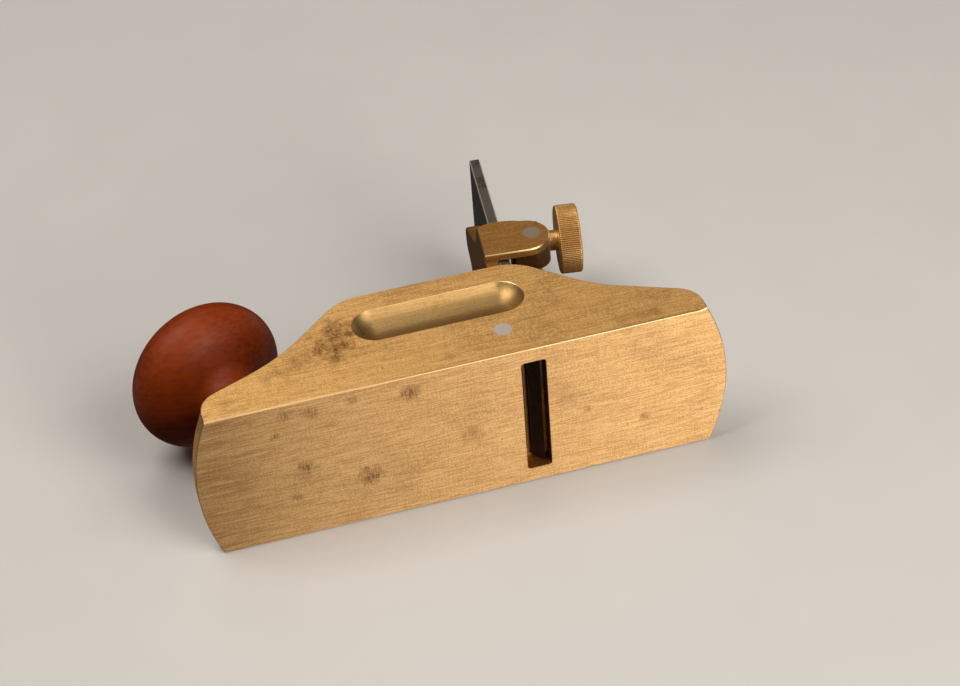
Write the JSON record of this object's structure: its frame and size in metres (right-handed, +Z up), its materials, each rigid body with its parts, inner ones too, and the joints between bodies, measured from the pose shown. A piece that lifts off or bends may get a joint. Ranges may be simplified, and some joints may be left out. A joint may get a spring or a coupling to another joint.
{
  "type": "small scraper plane",
  "caption": "Small bronze scraper plane with an upright blade in a tilting frog, a clamp cap with a thumb screw and a wooden palm knob.",
  "frame": {"origin": "centre of the sole, on its working face", "axes": "+Z up from the sole, +X forward to the toe, +Y to the left"},
  "size_m": [0.1489, 0.0444, 0.0893],
  "materials": {
    "body_bronze": "fine brushed, with light patina",
    "frog_bronze": "satin brushed",
    "cap_bronze": "satin, as machined",
    "screw_brass": "satin, knurled at the rim",
    "nut_brass": "satin, knurled at the rim",
    "blade_steel": "dark ground steel",
    "pin_steel": "ground flush",
    "rod_steel": "threaded, bright",
    "knob_wood": "oiled satin cherry"
  },
  "bodies": {
    "stock": {"body": "body_bronze", "knob": "knob_wood", "knob_stud": "pin_steel", "frog_pivot_pin": "pin_steel"},
    "frog": {"frog": "frog_bronze", "clamp_pin": "pin_steel", "rod_pin": "pin_steel"},
    "blade": {"blade": "blade_steel"},
    "cap": {"clamp_cap": "cap_bronze"},
    "screw": {"thumb_screw": "screw_brass"},
    "wheel": {"thumb_wheel": "screw_brass"},
    "rod": {"angle_rod": "rod_steel"},
    "front_nut": {"front_nut": "nut_brass"},
    "rear_nut": {"rear_nut": "nut_brass"}
  },
  "joints": [
    {"name": "frog_tilt", "type": "hinge", "parent": "stock", "child": "frog", "pos_m": [0.0137, 0, 0.0098], "axis": [0, 1, 0], "range_deg": [-5.7, 16.3]},
    {"name": "rod_swing", "type": "hinge", "parent": "frog", "child": "rod", "pos_m": [0.01062, 0, 0.0343], "axis": [0, 1, 0], "range_deg": [-16.3, 5.7]},
    {"name": "front_nut_turn", "type": "hinge", "parent": "stock", "child": "front_nut", "pos_m": [-0.00765, 0, 0.0343], "axis": [1, 0, 0], "range_deg": [-1980, 700]},
    {"name": "rear_nut_turn", "type": "hinge", "parent": "stock", "child": "rear_nut", "pos_m": [-0.01935, 0, 0.0343], "axis": [1, 0, 0], "range_deg": [-1980, 700]},
    {"name": "blade_slide", "type": "slide", "parent": "frog", "child": "blade", "axis": [0.0993, 0, 0.9951], "range_m": [-0.002, 0.022]},
    {"name": "cap_tilt", "type": "hinge", "parent": "frog", "child": "cap", "pos_m": [0.03259, 0, 0.04852], "axis": [0, 1, 0], "range_deg": [-5.75, 0]},
    {"name": "screw_advance", "type": "slide", "parent": "cap", "child": "screw", "axis": [0.9877, 0, -0.1564], "range_m": [0, 0.0022]},
    {"name": "wheel_turn", "type": "hinge", "parent": "screw", "child": "wheel", "pos_m": [0.04769, 0, 0.06779], "axis": [0.9877, 0, -0.1564], "range_deg": [0, 720]}
  ],
  "couplings": [
    {"joint": "rod_swing", "follows": "frog_tilt", "ratio": -1},
    {"joint": "front_nut_turn", "follows": "frog_tilt", "ratio": -121.16},
    {"joint": "rear_nut_turn", "follows": "frog_tilt", "ratio": -121.16},
    {"joint": "screw_advance", "follows": "wheel_turn", "m_per_rad": 0.00016843},
    {"joint": "cap_tilt", "follows": "wheel_turn", "ratio": -0.0079075}
  ]
}
